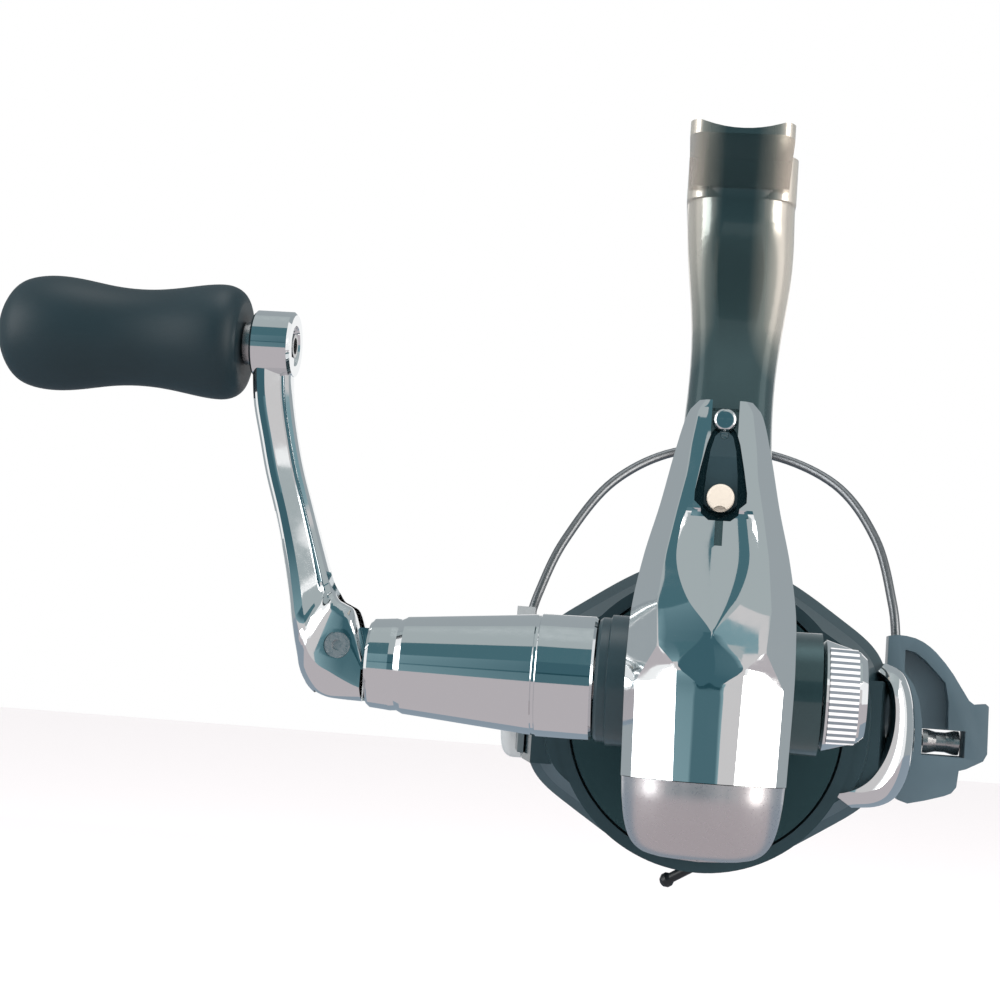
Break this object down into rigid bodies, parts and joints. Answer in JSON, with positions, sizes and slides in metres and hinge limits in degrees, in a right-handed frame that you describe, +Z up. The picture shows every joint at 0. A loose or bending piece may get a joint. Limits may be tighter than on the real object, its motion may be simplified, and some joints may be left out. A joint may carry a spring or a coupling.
{
  "type": "spinning reel",
  "caption": "Open-face spinning reel with a saddle foot, folding crank with a waisted grip, geared rotor with a wire bail and line roller, skirted spool and front drag.",
  "frame": {"origin": "middle of the foot's saddle, at its lowest line, halfway along the foot", "axes": "+Z up out of the foot towards the rod, +Y forward along the rod towards its tip and the spool, crank on the -X side"},
  "size_m": [0.176, 0.1121, 0.1272],
  "materials": {
    "dark_plastic": "gloss moulded plastic",
    "pearl_paint": "pearl lacquer over moulded plastic",
    "chrome": "bright plated",
    "satin_chrome": "satin plated",
    "grey_plastic": "fine grained moulded plastic",
    "light_plastic": "fine grained moulded plastic",
    "black_plastic": "moulded plastic",
    "soft_grip": "soft touch coating",
    "knob_plastic": "gloss moulded plastic",
    "pearl_stud": "pearl",
    "label": "printed film",
    "steel": "bright drawn steel",
    "brass": "machined",
    "zinc": "die cast",
    "nylon": "moulded",
    "felt": "oiled felt"
  },
  "bodies": {
    "frame": {"body_frame": "pearl_paint", "side_cover": "dark_plastic", "side_cover_screws": "steel", "rear_cover": "chrome", "rear_bumper": "satin_chrome", "rear_cover_screw": "chrome", "lever_pin": "steel", "axle_bearing_left": "steel", "axle_bearing_right": "steel", "oscillation_pin": "steel", "pinion_bearing": "steel", "one_way_clutch": "black_plastic", "clutch_rollers": "steel", "clutch_screws": "steel", "guide_rod": "steel"},
    "lever": {"anti_reverse_lever": "dark_plastic", "lever_stud": "pearl_stud"},
    "axle": {"handle_axle": "steel", "drive_gear": "zinc", "hub_gear": "brass", "handle_collar": "chrome", "screw_cap": "chrome", "cap_label": "label"},
    "crank": {"crank_arm": "chrome", "fold_pin": "satin_chrome", "grip_pin": "steel", "grip_screw": "steel"},
    "grip": {"grip": "soft_grip", "grip_cap": "soft_grip"},
    "oscillator": {"oscillation_gear": "zinc"},
    "rotor": {"rotor": "dark_plastic", "pinion": "brass", "clutch_sleeve": "steel", "arm_cover": "chrome", "left_arm_cover": "dark_plastic", "rotor_nut": "steel", "line_peg": "black_plastic", "bail_spring": "steel", "spring_rod": "steel", "bail_screws": "steel"},
    "bail": {"bail_arm": "grey_plastic", "bail_wire": "steel", "trailing_arm": "light_plastic", "roller_pin": "steel", "roller_bush": "nylon"},
    "line_roller": {"line_roller": "steel"},
    "shaft": {"main_shaft": "steel", "slider": "black_plastic", "slider_screw": "steel", "cross_pin": "steel", "click_gear": "nylon", "spool_shims": "nylon", "spool_bush": "nylon"},
    "spool": {"spool": "satin_chrome", "drag_felt_washers": "felt", "drag_metal_washers": "steel", "drag_clip": "steel"},
    "drag_knob": {"drag_knob": "knob_plastic", "drag_nut": "steel", "drag_spring": "steel"}
  },
  "joints": [
    {"name": "handle_spin", "type": "hinge", "parent": "frame", "child": "axle", "pos_m": [0, -0.022, -0.09], "axis": [1, 0, 0], "continuous": true},
    {"name": "handle_fold", "type": "hinge", "parent": "axle", "child": "crank", "pos_m": [-0.0602, -0.022, -0.0876], "axis": [0, 1, 0], "range_deg": [0, 15]},
    {"name": "grip_spin", "type": "hinge", "parent": "crank", "child": "grip", "pos_m": [-0.1, -0.022, -0.0379], "axis": [1, 0, 0], "continuous": true},
    {"name": "oscillation_spin", "type": "hinge", "parent": "frame", "child": "oscillator", "pos_m": [0.007, -0.022, -0.102], "axis": [1, 0, 0], "continuous": true},
    {"name": "rotor_spin", "type": "hinge", "parent": "frame", "child": "rotor", "pos_m": [0, 0.013, -0.096], "axis": [0, 1, 0], "continuous": true},
    {"name": "bail_swing", "type": "hinge", "parent": "rotor", "child": "bail", "pos_m": [0, 0.033, -0.096], "axis": [-1, 0, 0], "range_deg": [0, 105]},
    {"name": "roller_spin", "type": "hinge", "parent": "bail", "child": "line_roller", "pos_m": [0.045, 0.04, -0.0968], "axis": [1, 0, 0], "continuous": true},
    {"name": "shaft_slide", "type": "slide", "parent": "frame", "child": "shaft", "axis": [0, 1, 0], "range_m": [-0.0055, 0.0055]},
    {"name": "spool_spin", "type": "hinge", "parent": "shaft", "child": "spool", "pos_m": [0, 0.043, -0.096], "axis": [0, 1, 0], "continuous": true},
    {"name": "drag_turn", "type": "hinge", "parent": "shaft", "child": "drag_knob", "pos_m": [0, 0.058, -0.096], "axis": [0, 1, 0], "range_deg": [-360, 360]},
    {"name": "lever_swing", "type": "hinge", "parent": "frame", "child": "lever", "pos_m": [0, -0.034, -0.0505], "axis": [0, 1, 0], "range_deg": [-6, 6]}
  ],
  "couplings": [
    {"joint": "rotor_spin", "follows": "handle_spin", "ratio": 5},
    {"joint": "oscillation_spin", "follows": "handle_spin", "ratio": -0.66667}
  ]
}
